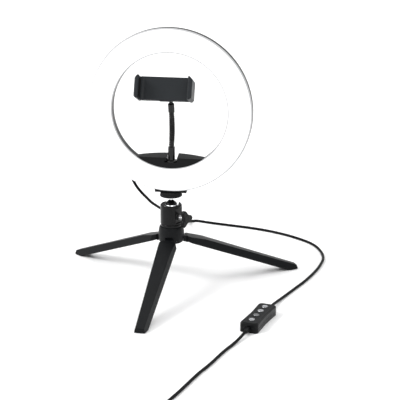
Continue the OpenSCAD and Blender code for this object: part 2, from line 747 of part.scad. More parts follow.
module remote_boots() color("#101010") remote_frame() for (s = [0, 180]) rotate([0, 0, s])
    translate([remote_len / 2 - 3, 0, cord_up]) rotate([0, 90, 0]) rotate_extrude() polygon([
        [0, 0], [2.6, 0], [2.6, 3.2], [3.4, 3.2], [3.4, 5], [cord_r + 0.4, 3 + boot_len], [0, 3 + boot_len]
    ]);

function button_x(i) = (i - 1.5) * button_pitch;

// A button's cap stands above the remote; its flange and plunger are inside, over the board.
module button(i) color("silver") remote_frame() translate([button_x(i), 0, 0]) {
    translate([0, 0, remote_h - 2.6]) cylinder(r = button_r, h = button_up + 2.2);
    translate([0, 0, remote_h + button_up - 0.4]) cylinder(r1 = button_r, r2 = button_r - 0.5, h = 0.4);
    translate([0, 0, remote_h - 3.3]) cylinder(r = button_r + 0.8, h = 0.8);
}

module plug_frame() translate(plug_at) children();

// The moulded grip, with the insulator that carries the contacts inside the shell.
module usb_grip() color("#121212") plug_frame() {
    translate([0, 0, cord_up - 0.6]) rotate([0, 90, 0]) cylinder(r1 = cord_r + 0.4, r2 = 3.2, h = 6);
    translate([5.5, -7.8, 0]) cube([17, 15.6, 8]);
    translate([22, -5.6, 4.2]) cube([11, 11.2, 1.7]);
}

module usb_shell() color("silver") plug_frame() difference() {
    translate([22.5, -6, 1.75]) cube([12, 12, 4.5]);
    translate([22.4, -5.65, 2.1]) cube([13, 11.3, 3.8]);
}

on_axis() front_diffuser();
on_axis() rear_housing();
on_axis() led_board();
on_axis() leds_warm();
on_axis() leds_white();
on_axis() housing_screws();
on_axis() foot_insert();
on_axis() bridge_cover();
on_axis() neck_nut();
on_axis() neck_sleeve();
on_axis() neck_link(0);  // neck_link_1
on_axis() neck_link(1);  // neck_link_2
on_axis() neck_link(2);  // neck_link_3
on_axis() neck_link(3);  // neck_link_4
on_axis() neck_link(4);  // neck_link_5
on_axis() neck_link(5);  // neck_link_6
on_axis() neck_ball();
on_axis() socket_liner();
on_axis() clamp_body();
on_axis() clamp_jaw();
on_axis() clamp_pad_right();
on_axis() clamp_pad_left();
on_axis() clamp_spring();
on_axis() platform();
on_axis() platform_pad();
on_axis() platform_screw();
on_axis() ball_stem();
on_axis() head_ball();
on_axis() head_body();
on_axis() pressure_cup();
on_axis() head_collar();
on_axis() tripod_stud();
on_axis() lock_screw();
on_axis() lock_knob();
on_axis() tripod_hub();
on_axis() leg_pins();
on_axis() at_leg(0) leg();  // leg_front
on_axis() at_leg(1) leg();  // leg_right
on_axis() at_leg(2) leg();  // leg_left
on_axis() at_leg(0) foot_pad();  // foot_front
on_axis() at_leg(1) foot_pad();  // foot_right
on_axis() at_leg(2) foot_pad();  // foot_left
on_axis() strain_relief();
on_axis() cord_ring();
on_axis() cord_side();
on_axis() cord_pan();
on_axis() cord_floor();
on_axis() cord_plug();
on_axis() cord_coil();
on_axis() cord_tail();
on_axis() remote_top();
on_axis() remote_base();
on_axis() remote_board();
on_axis() remote_boots();
on_axis() button(0);  // button_power
on_axis() button(1);  // button_mode
on_axis() button(2);  // button_bright
on_axis() button(3);  // button_dim
on_axis() usb_grip();
on_axis() usb_shell();
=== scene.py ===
"""LED ring light on a folding mini tripod: cords, detailed pieces, materials, light and camera."""

import json
import math

import bmesh
import bpy
from mathutils import Matrix, Vector

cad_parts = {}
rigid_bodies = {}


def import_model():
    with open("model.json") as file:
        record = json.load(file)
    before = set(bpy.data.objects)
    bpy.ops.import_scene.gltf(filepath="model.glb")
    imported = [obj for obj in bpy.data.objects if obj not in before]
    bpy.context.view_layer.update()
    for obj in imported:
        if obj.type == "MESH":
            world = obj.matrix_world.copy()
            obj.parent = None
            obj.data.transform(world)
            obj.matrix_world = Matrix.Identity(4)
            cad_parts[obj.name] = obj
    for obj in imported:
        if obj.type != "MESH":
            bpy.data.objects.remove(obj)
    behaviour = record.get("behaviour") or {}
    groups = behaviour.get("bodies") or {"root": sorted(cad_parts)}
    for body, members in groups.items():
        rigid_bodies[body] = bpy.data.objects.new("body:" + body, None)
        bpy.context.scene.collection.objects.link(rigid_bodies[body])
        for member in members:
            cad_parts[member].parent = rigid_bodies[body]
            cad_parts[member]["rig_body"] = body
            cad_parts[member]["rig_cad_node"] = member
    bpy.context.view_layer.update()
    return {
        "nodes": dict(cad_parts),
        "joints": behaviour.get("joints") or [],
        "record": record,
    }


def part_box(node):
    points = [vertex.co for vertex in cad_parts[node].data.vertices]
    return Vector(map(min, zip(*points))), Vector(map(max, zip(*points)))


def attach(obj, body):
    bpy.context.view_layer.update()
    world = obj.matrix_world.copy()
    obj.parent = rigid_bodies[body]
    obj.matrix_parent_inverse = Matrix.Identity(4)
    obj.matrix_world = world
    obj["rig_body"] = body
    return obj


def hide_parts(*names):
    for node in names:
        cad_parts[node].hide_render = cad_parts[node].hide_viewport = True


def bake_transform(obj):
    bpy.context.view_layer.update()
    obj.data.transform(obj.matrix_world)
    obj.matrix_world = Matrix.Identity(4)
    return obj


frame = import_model()
MM = 0.001
BLACK = (0, 0, 0)
WHITE = (1, 1, 1)


# Places, worked out from the frame

def middle(node):
    low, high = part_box(node)
    return (low + high) / 2


def size_of(node):
    low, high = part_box(node)
    return high - low


AXIS = Vector((middle("tripod_hub").x, middle("tripod_hub").y, 0))
RING = middle("front_diffuser")
RING_R = size_of("front_diffuser").x / 2
RING_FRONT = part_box("front_diffuser")[0].y
BALL = middle("head_ball")
HOLE_R = 70.7  # radius of the ring's hole, in millimetres
SEAM = 3.6  # millimetres from the ring's front face back to the seam of diffuser and housing


def at(x, y, z):
    """A point measured in millimetres from the tripod's axis on the floor."""
    return AXIS + Vector((x, y, z)) * MM


# Camera

VIEW_AZIMUTH = math.radians(9.8)
VIEW_ELEVATION = math.radians(16.95)
VIEW_DISTANCE = 1.595
VIEW_TARGET = at(34.9, 6.1, 107.6)
LENS = 117
SENSOR = 36


def make_camera():
    camera = bpy.data.objects.new("camera", bpy.data.cameras.new("camera"))
    bpy.context.scene.collection.objects.link(camera)
    back = Vector((
        math.sin(VIEW_AZIMUTH) * math.cos(VIEW_ELEVATION),
        -math.cos(VIEW_AZIMUTH) * math.cos(VIEW_ELEVATION),
        math.sin(VIEW_ELEVATION),
    ))
    camera.location = VIEW_TARGET + back * VIEW_DISTANCE
    camera.rotation_mode = "QUATERNION"
    camera.rotation_quaternion = (-back).to_track_quat("-Z", "Y")
    camera.data.sensor_width = SENSOR
    camera.data.lens = LENS
    camera.data.clip_start = 0.05
    camera.data.clip_end = 20
    bpy.context.scene.camera = camera


make_camera()


# Mesh tools

def add_mesh(name, vertices, faces, smooth=True):
    mesh = bpy.data.meshes.new(name)
    mesh.from_pydata([tuple(v) for v in vertices], [], faces)
    mesh.validate()
    piece = bpy.data.objects.new(name, mesh)
    bpy.context.scene.collection.objects.link(piece)
    for polygon in mesh.polygons:
        polygon.use_smooth = smooth
    return piece


def shade_smooth(piece):
    for polygon in piece.data.polygons:
        polygon.use_smooth = True


def split_edges(piece, degrees=35):
    modifier = piece.modifiers.new("sharp_edges", "EDGE_SPLIT")
    modifier.split_angle = math.radians(degrees)
    return piece


def bevelled(piece, width, segments=2, degrees=38):
    """Rounds the edges and keeps the flat faces flat in the shading."""
    modifier = piece.modifiers.new("bevel", "BEVEL")
    modifier.width = width
    modifier.segments = segments
    modifier.limit_method = "ANGLE"
    modifier.angle_limit = math.radians(degrees)
    modifier = piece.modifiers.new("normals", "WEIGHTED_NORMAL")
    modifier.weight = 60
    shade_smooth(piece)
    return piece


def across(direction):
    """Two unit vectors at right angles to a direction and to each other."""
    d = Vector(direction).normalized()
    side = d.cross(Vector((0, 0, 1)))
    if side.length < 1e-4:
        side = d.cross(Vector((0, 1, 0)))
    side.normalize()
    return side, d.cross(side).normalized()


def frame_of(origin, direction, up=None):
    """A matrix whose Z is the direction, and whose X is as near to up as it can be."""
    z = Vector(direction).normalized()
    x = Vector(up) if up else across(z)[0]
    x = (x - z * x.dot(z)).normalized()
    y = z.cross(x)
    return Matrix.Translation(Vector(origin)) @ Matrix((x, y, z)).transposed().to_4x4()


def upright(x, y, z):
    """A matrix at a point in metres, with Z up and X to the right."""
    return Matrix.Translation((x, y, z))


def lathe(name, profile, matrix, segments=96, closed=False):
    """Turns (radius, height) points round the matrix's Z axis. A point on the axis closes that end."""
    vertices = []
    rows = []
    for r, h in profile:
        if r < 1e-7:
            rows.append([len(vertices)])
            vertices.append(matrix @ Vector((0, 0, h)))
            continue
        rows.append(list(range(len(vertices), len(vertices) + segments)))
        for k in range(segments):
            a = 2 * math.pi * k / segments
            vertices.append(matrix @ Vector((r * math.cos(a), r * math.sin(a), h)))
    faces = []
    pairs = list(zip(rows, rows[1:]))
    if closed:
        pairs.append((rows[-1], rows[0]))
    for low, high in pairs:
        for k in range(segments):
            m = (k + 1) % segments
            if len(low) == 1 and len(high) == 1:
                continue
            if len(low) == 1:
                faces.append((low[0], high[m], high[k]))
            elif len(high) == 1:
                faces.append((low[k], low[m], high[0]))
            else:
                faces.append((low[k], low[m], high[m], high[k]))
    piece = add_mesh(name, vertices, faces)
    tidy_normals(piece)
    return piece


def tidy_normals(piece):
    work = bmesh.new()
    work.from_mesh(piece.data)
    bmesh.ops.remove_doubles(work, verts=work.verts, dist=1e-7)
    bmesh.ops.recalc_face_normals(work, faces=work.faces)
    work.to_mesh(piece.data)
    work.free()


def prism(name, outline, depth, matrix):
    """A closed solid: the outline in the matrix's XY plane, raised along its Z."""
    count = len(outline)
    vertices = [matrix @ Vector((p[0], p[1], 0)) for p in outline]
    vertices += [matrix @ Vector((p[0], p[1], depth)) for p in outline]
    faces = [tuple(range(count - 1, -1, -1)), tuple(range(count, 2 * count))]
    for k in range(count):
        m = (k + 1) % count
        faces.append((k, m, m + count, k + count))
    piece = add_mesh(name, vertices, faces, smooth=False)
    tidy_normals(piece)
    return piece


# Materials

def new_material(name):
    material = bpy.data.materials.new(name)
    material.use_nodes = True
    nodes = material.node_tree.nodes
    nodes.clear()
    output = nodes.new("ShaderNodeOutputMaterial")
    shader = nodes.new("ShaderNodeBsdfPrincipled")
    material.node_tree.links.new(shader.outputs["BSDF"], output.inputs["Surface"])
    return material, shader


class Maker:
    """Short calls for the nodes of one material."""

    def __init__(self, material):
        self.tree = material.node_tree
        self.place = self.add("ShaderNodeTexCoord").outputs["Object"]

    def add(self, kind, **settings):
        node = self.tree.nodes.new(kind)
        for key, value in settings.items():
            setattr(node, key, value)
        return node

    def link(self, a, b):
        self.tree.links.new(a, b)

    def noise(self, scale, detail=3.0, roughness=0.6, stretch=None):
        node = self.add("ShaderNodeTexNoise")
        node.inputs["Scale"].default_value = scale
        node.inputs["Detail"].default_value = detail
        node.inputs["Roughness"].default_value = roughness
        place = self.place
        if stretch:
            mapping = self.add("ShaderNodeMapping")
            mapping.inputs["Scale"].default_value = stretch
            self.link(place, mapping.inputs["Vector"])
            place = mapping.outputs["Vector"]
        self.link(place, node.inputs["Vector"])
        return node.outputs["Fac"]

    def cells(self, scale):
        node = self.add("ShaderNodeTexVoronoi", feature="F1")
        node.inputs["Scale"].default_value = scale
        self.link(self.place, node.inputs["Vector"])
        return node.outputs["Distance"]

    def ramp(self, value, stops):
        node = self.add("ShaderNodeValToRGB")
        elements = node.color_ramp.elements
        while len(elements) < len(stops):
            elements.new(0.5)
        for element, (position, colour) in zip(elements, stops):
            element.position = position
            element.color = (*colour, 1)
        self.link(value, node.inputs["Fac"])
        return node.outputs["Color"]

    def spread(self, value, low, high):
        node = self.add("ShaderNodeMapRange")
        node.inputs["To Min"].default_value = low
        node.inputs["To Max"].default_value = high
        self.link(value, node.inputs["Value"])
        return node.outputs["Result"]

    def mix(self, factor, a, b):
        node = self.add("ShaderNodeMix", data_type="RGBA")
        self.link(factor, node.inputs["Factor"])
        for socket, value in (("A", a), ("B", b)):
            target = [s for s in node.inputs if s.name == socket and s.type == "RGBA"][0]
            if isinstance(value, tuple):
                target.default_value = (*value, 1)
            else:
                self.link(value, target)
        return [s for s in node.outputs if s.type == "RGBA"][0]

    def times(self, a, b):
        node = self.add("ShaderNodeMath", operation="MULTIPLY")
        self.link(a, node.inputs[0])
        self.link(b, node.inputs[1])
        return node.outputs["Value"]

    def rubbed(self, scale, most):
        """Patches on the edges that stand proud, from 0 up to the most."""
        pointiness = self.add("ShaderNodeNewGeometry").outputs["Pointiness"]
        proud = self.ramp(pointiness, [(0.56, BLACK), (0.68, WHITE)])
        return self.times(proud, self.spread(self.noise(scale, 2), 0.0, most))

    def bump(self, height, distance, strength=1.0, normal=None):
        node = self.add("ShaderNodeBump")
        node.inputs["Strength"].default_value = strength
        node.inputs["Distance"].default_value = distance
        self.link(height, node.inputs["Height"])
        if normal is not None:
            self.link(normal, node.inputs["Normal"])
        return node.outputs["Normal"]


def plastic(name, colour, roughness, grain=1400, depth=0.00006, lift=1.35, specular=0.14):
    """Moulded plastic with a fine spark-eroded grain, faint clouding and lighter rubbed edges."""
    material, shader = new_material(name)
    m = Maker(material)
    cloud = m.noise(28, 4, 0.55)
    light = tuple(min(1, c * lift + 0.001) for c in colour)
    base = m.mix(m.spread(cloud, 0, 1), colour, light)
    worn = tuple(min(1, c * 1.6 + 0.006) for c in colour)
    m.link(m.mix(m.rubbed(160, 0.5), base, worn), shader.inputs["Base Color"])
    m.link(m.spread(m.noise(90, 3), roughness - 0.07, roughness + 0.09), shader.inputs["Roughness"])
    fine = m.bump(m.cells(grain), depth, 0.5)
    m.link(m.bump(cloud, 0.0001, 0.2, fine), shader.inputs["Normal"])
    shader.inputs["Specular IOR Level"].default_value = specular
    return material


def coated_metal(name, colour, roughness, specular):
    """Glossy black coating on metal: a faint orange peel, rubbed thin on its edges."""
    material, shader = new_material(name)
    m = Maker(material)
    peel = m.noise(420, 2, 0.5)
    base = m.mix(m.noise(40, 3), colour, tuple(c * 1.4 + 0.002 for c in colour))
    m.link(m.mix(m.rubbed(220, 0.6), base, (0.05, 0.05, 0.053)), shader.inputs["Base Color"])
    m.link(m.spread(m.noise(70, 3), roughness - 0.06, roughness + 0.08), shader.inputs["Roughness"])
    m.link(m.bump(peel, 0.00004, 0.35), shader.inputs["Normal"])
    shader.inputs["Specular IOR Level"].default_value = specular
    return material


def bare_metal(name, colour, roughness, scratch=(1, 1, 1), scale=600, depth=0.00001):
    """Bare or plated metal with fine tool marks, closer together along an axis with a larger scratch."""
    material, shader = new_material(name)
    m = Maker(material)
    marks = m.noise(scale, 4, 0.7, scratch)
    dark = tuple(c * 0.82 for c in colour)
    m.link(m.mix(m.spread(m.noise(60, 3), 0, 1), dark, colour), shader.inputs["Base Color"])
    m.link(m.spread(marks, max(0.02, roughness - 0.06), roughness + 0.1), shader.inputs["Roughness"])
    m.link(m.bump(marks, depth, 0.4), shader.inputs["Normal"])
    shader.inputs["Metallic"].default_value = 1.0
    return material


def rubber(name, colour):
    """Matte rubber with a pebbled skin and a little dust in the hollows."""
    material, shader = new_material(name)
    m = Maker(material)
    pebbles = m.cells(900)
    dust = m.times(m.spread(m.noise(55, 4), 0, 0.5), m.spread(pebbles, 0.1, 1))
    m.link(m.mix(dust, colour, tuple(c + 0.02 for c in colour)), shader.inputs["Base Color"])
    m.link(m.spread(m.noise(130, 3), 0.64, 0.82), shader.inputs["Roughness"])
    m.link(m.bump(pebbles, 0.00008, 0.5), shader.inputs["Normal"])
    shader.inputs["Specular IOR Level"].default_value = 0.12
    return material


def cord_jacket(name):
    """Soft PVC jacket: satin, with faint waves from the core and a little dust."""
    material, shader = new_material(name)
    m = Maker(material)
    waves = m.noise(230, 2, 0.5)
    dusty = m.spread(m.noise(45, 3), 0, 0.8)
    m.link(m.mix(dusty, (0.002, 0.002, 0.0022), (0.006, 0.006, 0.0065)), shader.inputs["Base Color"])
    m.link(m.spread(m.noise(110, 3), 0.36, 0.52), shader.inputs["Roughness"])
    m.link(m.bump(waves, 0.00012, 0.5), shader.inputs["Normal"])
    shader.inputs["Specular IOR Level"].default_value = 0.09
    return material


def lit_diffuser(name):
    """Frosted acrylic lit from behind: brightest between the two rims, with painted shade in a thin dim band
    at each rim, in both its glow and its colour.
    """
    material, shader = new_material(name)
    m = Maker(material)
    centre = m.add("ShaderNodeVectorMath", operation="SUBTRACT")
    m.link(m.place, centre.inputs[0])
    centre.inputs[1].default_value = RING
    flat = m.add("ShaderNodeVectorMath", operation="MULTIPLY")
    m.link(centre.outputs["Vector"], flat.inputs[0])
    flat.inputs[1].default_value = (1, 0, 1)
    length = m.add("ShaderNodeVectorMath", operation="LENGTH")
    m.link(flat.outputs["Vector"], length.inputs[0])
    radius = m.add("ShaderNodeMapRange")
    radius.inputs["From Min"].default_value = 70 * MM  # just inside the hole's rim
    radius.inputs["From Max"].default_value = RING_R
    m.link(length.outputs["Value"], radius.inputs["Value"])
    # Painted shade at the two rims: the rim and band colours dim the glow in a thin band at each rounded
    # rim.
    rim, band, lit = (0.12, 0.12, 0.12), (0.16, 0.16, 0.16), (0.84, 0.84, 0.85)
    glow_and_painted_rim_shade = m.ramp(radius.outputs["Result"], [
        (0.0, rim), (0.05, band), (0.085, lit), (0.5, (0.9, 0.9, 0.9)), (0.93, lit), (0.965, band),
        (1.0, rim),
    ])
    frost = m.noise(500, 3, 0.6)
    m.link(m.mix(m.spread(frost, 0, 0.06), glow_and_painted_rim_shade, (0.8, 0.8, 0.82)), shader.inputs["Emission Color"])
    acrylic = m.mix(frost, (0.46, 0.465, 0.47), (0.54, 0.54, 0.55))
    # Painted shade: the acrylic's colour darkens towards dark grey where the glow is dimmed at the rims.
    m.link(m.mix(m.spread(glow_and_painted_rim_shade, 0.45, 0), acrylic, (0.1, 0.1, 0.105)), shader.inputs["Base Color"])
    m.link(m.spread(frost, 0.42, 0.56), shader.inputs["Roughness"])
    m.link(m.bump(frost, 0.00003, 0.3), shader.inputs["Normal"])
    shader.inputs["Emission Strength"].default_value = 1.0
    return material


def lamp(name, colour):
    """The phosphor of an LED in its package, softly lit."""
    material, shader = new_material(name)
    m = Maker(material)
    dots = m.noise(1500, 2)
    dark = tuple(c * 0.75 for c in colour)
    m.link(m.mix(dots, dark, colour), shader.inputs["Base Color"])
    m.link(m.mix(dots, dark, colour), shader.inputs["Emission Color"])
    m.link(m.spread(dots, 0.2, 0.4), shader.inputs["Roughness"])
    shader.inputs["Emission Strength"].default_value = 0.6
    return material


def circuit_board(name, mask, trace):
    """Solder mask with the pattern of the copper under it."""
    material, shader = new_material(name)
    m = Maker(material)
    node = m.add("ShaderNodeTexBrick")
    node.inputs["Scale"].default_value = 220
    node.inputs["Color1"].default_value = (*mask, 1)
    node.inputs["Color2"].default_value = (*trace, 1)
    node.inputs["Mortar"].default_value = (*tuple(c * 0.7 for c in mask), 1)
    m.link(m.place, node.inputs["Vector"])
    m.link(node.outputs["Color"], shader.inputs["Base Color"])
    m.link(m.spread(m.noise(300), 0.25, 0.4), shader.inputs["Roughness"])
    m.link(m.bump(node.outputs["Fac"], 0.00003, 0.5), shader.inputs["Normal"])
    return material


LOOKS = {
    "diffuser": lit_diffuser("diffuser"),
    "black_plastic": plastic("black_plastic", (0.0024, 0.0026, 0.003), 0.34),
    "black_metal": coated_metal("black_metal", (0.002, 0.0021, 0.0024), 0.22, 0.18),
    "black_gloss": coated_metal("black_gloss", (0.002, 0.002, 0.0022), 0.14, 0.32),
    "slate_plastic": plastic("slate_plastic", (0.0115, 0.0135, 0.0155), 0.42, specular=0.2),
    "leg_plastic": plastic("leg_plastic", (0.003, 0.0035, 0.0041), 0.4, grain=1100, depth=0.00008),
    "rubber": rubber("rubber", (0.005, 0.005, 0.005)),
    "cord": cord_jacket("cord"),
    "chrome": bare_metal("chrome", (0.86, 0.87, 0.88), 0.08, scale=300, depth=0.000004),
    "steel": bare_metal("steel", (0.6, 0.6, 0.61), 0.28, (1, 1, 8)),
    "brass": bare_metal("brass", (0.75, 0.56, 0.25), 0.26, (1, 1, 8)),
    "board": circuit_board("board", (0.82, 0.82, 0.8), (0.7, 0.7, 0.68)),
    "green_board": circuit_board("green_board", (0.01, 0.14, 0.05), (0.02, 0.2, 0.08)),
    "led_warm": lamp("led_warm", (0.95, 0.72, 0.32)),
    "led_white": lamp("led_white", (0.95, 0.93, 0.8)),
    "nylon": plastic("nylon", (0.62, 0.6, 0.54), 0.5, grain=800, depth=0.00005, lift=1.1, specular=0.5),
    "button_silver": bare_metal("button_silver", (0.62, 0.63, 0.65), 0.22, scale=900, depth=0.000006),
    "button_grey": bare_metal("button_grey", (0.3, 0.305, 0.315), 0.26, scale=900, depth=0.000006),
}
SLOT_OF = {row["node"]: row["material_slot"] for row in frame["record"]["subparts"]}


def paint(piece, slot):
    piece.data.materials.clear()
    piece.data.materials.append(LOOKS[slot])
    return piece


def body_of(node):
    return frame["nodes"][node]["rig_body"]


def stand_for(piece, node):
    """The piece takes the place, the body and the material slot of a CAD node."""
    paint(piece, SLOT_OF[node])
    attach(piece, body_of(node))
    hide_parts(node)
    return piece


# Cords

CORD_R = 1.75
# The points of each stretch, in millimetres from the tripod's axis on the floor
ROUTE_RING = [
    (-53, 16, 144), (-54, 21, 141.2), (-55.3, 27, 133.5), (-55, 30, 124), (-51.5, 34, 114),
    (-46.5, 39, 104.5), (-41.5, 46.5, 95.5), (-36.7, 55, 86.5),
]
ROUTE_SIDE = [
    (-36.7, 55, 86.5), (-32.5, 63, 80), (-28.6, 72, 73.7), (-26, 83, 67.5), (-25, 96, 61), (-24.5, 111, 54),
]
ROUTE_PAN = [
    (-24.5, 111, 54), (-24, 128, 46.5), (-23.5, 146, 38.5), (-23, 165, 30), (-22.5, 184, 21.5),
    (-22, 204, 13.6), (-22, 220, 7.6), (-21.5, 234, 3.8), (-18.5, 243.5, 2.2), (-11, 247.5, 1.75),
    (0, 244.4, 1.75),
]
ROUTE_FLOOR = [
    (0, 244.4, 1.75), (12, 241, 1.75), (24, 238, 1.75), (45, 233.5, 1.75), (67, 228.5, 1.75),
    (89, 221.5, 1.75), (109, 212.5, 1.75), (127, 202, 1.75), (143, 190, 1.75), (156, 178, 1.75),
    (166, 164, 1.75), (173, 148, 1.75), (178, 131, 1.75), (180, 114, 1.75), (179, 97, 1.75),
    (176, 76, 1.75), (171, 53, 1.75), (163.5, 26, 1.75), (154.5, 0, 1.75), (145, -28, 1.9),
    (139, -47, 2.6), (135.5, -61, 3.8), (133.4, -71.2, 4.6),
]
ROUTE_PLUG = [
    (114, -155, 4.6), (111.7, -163, 3.8), (108, -175, 2.6), (103.5, -188, 1.9), (99.3, -200, 1.75),
    (94.5, -217, 1.75), (90, -235, 1.75), (85.5, -250, 1.75), (81, -264, 1.75), (77, -279, 1.75),
    (73, -295, 1.75), (69, -311, 1.75), (64.5, -327, 1.75), (59.5, -343, 1.75), (54, -356.5, 1.75),
    (47.2, -368.7, 1.75),
]
ROUTE_TAIL = [(74, -415.2, 4.6), (81, -415.2, 3), (90, -415.2, 3), (100, -415.2, 4.6)]
COIL_AT = (64, -390)
COIL_LANES = 4
COIL_R = 20
COIL_START = 150
COIL_END = 270
COIL_RISE = 0.25  # the part of a turn that climbs to the top layer


def smooth_path(points, steps=6):
    """A curve through every point, with an even tension."""
    points = [Vector(p) for p in points]
    padded = [points[0] * 2 - points[1], *points, points[-1] * 2 - points[-2]]
    path = []
    for a, b, c, d in zip(padded, padded[1:], padded[2:], padded[3:]):
        for k in range(steps):
            t = k / steps
            path.append(0.5 * (
                2 * b + (c - a) * t + (2 * a - 5 * b + 4 * c - d) * t ** 2 + (3 * b - a - 3 * c + d) * t ** 3
            ))
    path.append(points[-1])
    return path


def split_path(routes, steps=6):
    """One smooth path through joined routes, cut again where they join."""
    whole = list(routes[0])
    for route in routes[1:]:
        whole += route[1:]
    path = smooth_path(whole, steps)
    cuts = [0]
    for route in routes:
        cuts.append(cuts[-1] + (len(route) - 1) * steps)
    return [path[a:b + 1] for a, b in zip(cuts, cuts[1:])]


def coil_path():
    """In along the bottom layer, up at the inside, and out along the top layer."""
    outer = COIL_R + (COIL_LANES - 1) * CORD_R
    inner = COIL_R - (COIL_LANES - 1) * CORD_R
    turns_in = COIL_LANES - 1
    total = 2 * turns_in + (COIL_END - COIL_START) / 360
    per_turn = 40
    points = []
    for k in range(int(total * per_turn) + 1):
        turn = k / per_turn
        if turn < turns_in:
            r = outer + (inner - outer) * turn / turns_in
            z = CORD_R
        elif turn < turns_in + COIL_RISE:
            r = inner
            z = CORD_R * (1 + 2 * (turn - turns_in) / COIL_RISE)
        else:
            r = min(outer, inner + (outer - inner) * (turn - turns_in - COIL_RISE) / turns_in)
            z = 3 * CORD_R
        a = math.radians(COIL_START) + 2 * math.pi * turn
        points.append(Vector((COIL_AT[0] + r * math.cos(a), COIL_AT[1] + r * math.sin(a), z)))
    return points


def tube(name, path, sides=14):
    """The cord's mesh along a path in millimetres, with both ends closed, and the same path in metres."""
    path = [at(*p) for p in path]
    vertices = []
    side = None
    for i, p in enumerate(path):
        way = path[min(i + 1, len(path) - 1)] - path[max(i - 1, 0)]
        way.normalize()
        side = across(way)[0] if side is None else (side - way * side.dot(way)).normalized()
        up = way.cross(side)
        for k in range(sides):
            a = 2 * math.pi * k / sides
            vertices.append(p + (side * math.cos(a) + up * math.sin(a)) * CORD_R * MM)
    faces = [tuple(range(sides)), tuple(reversed(range(len(vertices) - sides, len(vertices))))]
    for i in range(len(path) - 1):
        for k in range(sides):
            m = (k + 1) % sides
            faces.append((i * sides + k, i * sides + m, (i + 1) * sides + m, (i + 1) * sides + k))
    piece = add_mesh(name, vertices, faces)
    tidy_normals(piece)
    return piece, path


def lay_cord(name, path, nodes, bodies=None):
    """A stretch of the cord. With bodies given, it is left on no body, with its place baked into its mesh;
    without, it goes on the body of its first node.
    """
    piece, points = tube(name, path)
    paint(piece, "cord")
    if bodies:
        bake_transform(piece)
    else:
        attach(piece, body_of(nodes[0]))
    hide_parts(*nodes)
    return piece


def make_cords(caps):
    ring, side, pan, floor = split_path([ROUTE_RING, ROUTE_SIDE, ROUTE_PAN, ROUTE_FLOOR])
    lay_cord("cord_from_ring", ring, ["cord_ring"], ("ring", "ball"))
    lay_cord("cord_beside_head", side, ["cord_side"], ("ball", "head"))
    lay_cord("cord_behind_tripod", pan, ["cord_pan"])
    lay_cord(
        "cord_to_remote", floor, ["cord_floor"], ("head", "base"),
    )
    last = smooth_path([*ROUTE_PLUG, *coil_path()[::3], *ROUTE_TAIL], 3)
    lay_cord(
        "cord_to_plug", last, ["cord_plug", "cord_coil", "cord_tail"],
    )


# Ring

RING_FRAME = frame_of((AXIS.x, AXIS.y, RING.z), (0, 1, 0), (0, 0, 1))


def mm(points):
    """Points given in millimetres, in metres."""
    return [tuple(v * MM for v in p) for p in points]


def arc(x, y, r, start, end, steps):
    """Points on a circle round (x, y), between two angles in degrees."""
    return [
        (x + r * math.cos(math.radians(start + (end - start) * k / steps)),
         y + r * math.sin(math.radians(start + (end - start) * k / steps)))
        for k in range(steps + 1)
    ]


def make_diffuser():
    outer = RING_R / MM
    front = (RING_FRONT - AXIS.y) / MM
    back = front + SEAM
    wall = 1.6
    profile = [
        (HOLE_R, front + wall), (HOLE_R, front + 1.2), *arc(HOLE_R + 1, front + 1, 1, 180, 270, 5),
        *arc(outer - 3, front + 3, 3, 270, 360, 10), (outer, back), (outer - wall, back),
        (outer - wall, back - 0.4), (outer - 3, front + wall),
    ]
    piece = lathe("ring_diffuser", mm(profile), RING_FRAME, 192, closed=True)
    stand_for(split_edges(piece, 40), "front_diffuser")


def make_housing_trim():
    """A fine moulded bead that runs round the housing just behind the diffuser's skirt."""
    outer = RING_R / MM
    seam = (RING_FRONT - AXIS.y) / MM + SEAM
    root = outer - 0.3
    bead = [(root, seam + 0.5), *arc(outer - 0.02, seam + 0.85, 0.28, 240, 480, 6), (root, seam + 1.2)]
    piece = lathe("housing_bead", mm(bead), RING_FRAME, 192, closed=True)
    paint(piece, "black_plastic")
    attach(piece, "ring")


def make_relief():
    """The tapered strain relief, with its flexing slots."""
    low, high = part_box("strain_relief")
    length = (high.y - low.y) / MM
    steps = [(0, 0), (4.4, 0), (4.4, 1.2), (3.1, 1.2), (3.1, 2.8), (4.2, 2.8), (4.2, 3.9), (3.5, 4.6)]
    rings = 4
    for k in range(rings):
        z = 4.9 + k * (length - 5.6) / rings
        r = 3.35 - 0.28 * k
        steps += [(r, z), (r - 0.08, z + 0.75), (r - 0.7, z + 0.85), (r - 0.75, z + 1.35)]
    steps += [(2.25, length - 0.2), (2.0, length), (0, length)]
    front = ((low.x + high.x) / 2, low.y, (low.z + high.z) / 2)
    piece = lathe("strain_relief_boot", mm(steps), frame_of(front, (0, 1, 0), (0, 0, 1)), 40)
    stand_for(split_edges(piece, 35), "strain_relief")


# Ball head

def make_ball():
    radius = size_of("head_ball").x / 2
    profile = [(max(0.0, x), z) for x, z in arc(0, 0, radius, -90, 90, 40)]
    stand_for(lathe("chrome_ball", profile, upright(*BALL), 72), "head_ball")


def make_stem():
    """The stem's black bell over the ball, and its thin chrome neck up to the platform."""
    spot = upright(AXIS.x, AXIS.y, BALL.z)
    gap = 0.25  # between the ball and the bell over it
    skin = size_of("head_ball").x / 2 / MM + gap
    top = (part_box("ball_stem")[1].z - BALL.z) / MM
    bell = lathe("stem_bell", mm([
        (0, skin), *arc(0, 0, skin, 88, 31, 10), (7.4, 4.75), (7.2, 5.3), (6, 6.6), (4.5, 8),
        (3, 9.4), (2.4, 9.9), (2, 10), (0, 10),
    ]), spot, 72)
    stand_for(split_edges(bell, 40), "ball_stem")
    neck = lathe("stem_neck", mm([
        (0, 9.9), (1.8, 9.9), (1.7, 10.3), (1.7, 12.8), (2.1, 13.3), (3.4, 13.9), (4, top), (0, top),
    ]), spot, 72)
    paint(split_edges(neck, 40), "chrome")
    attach(neck, body_of("ball_stem"))


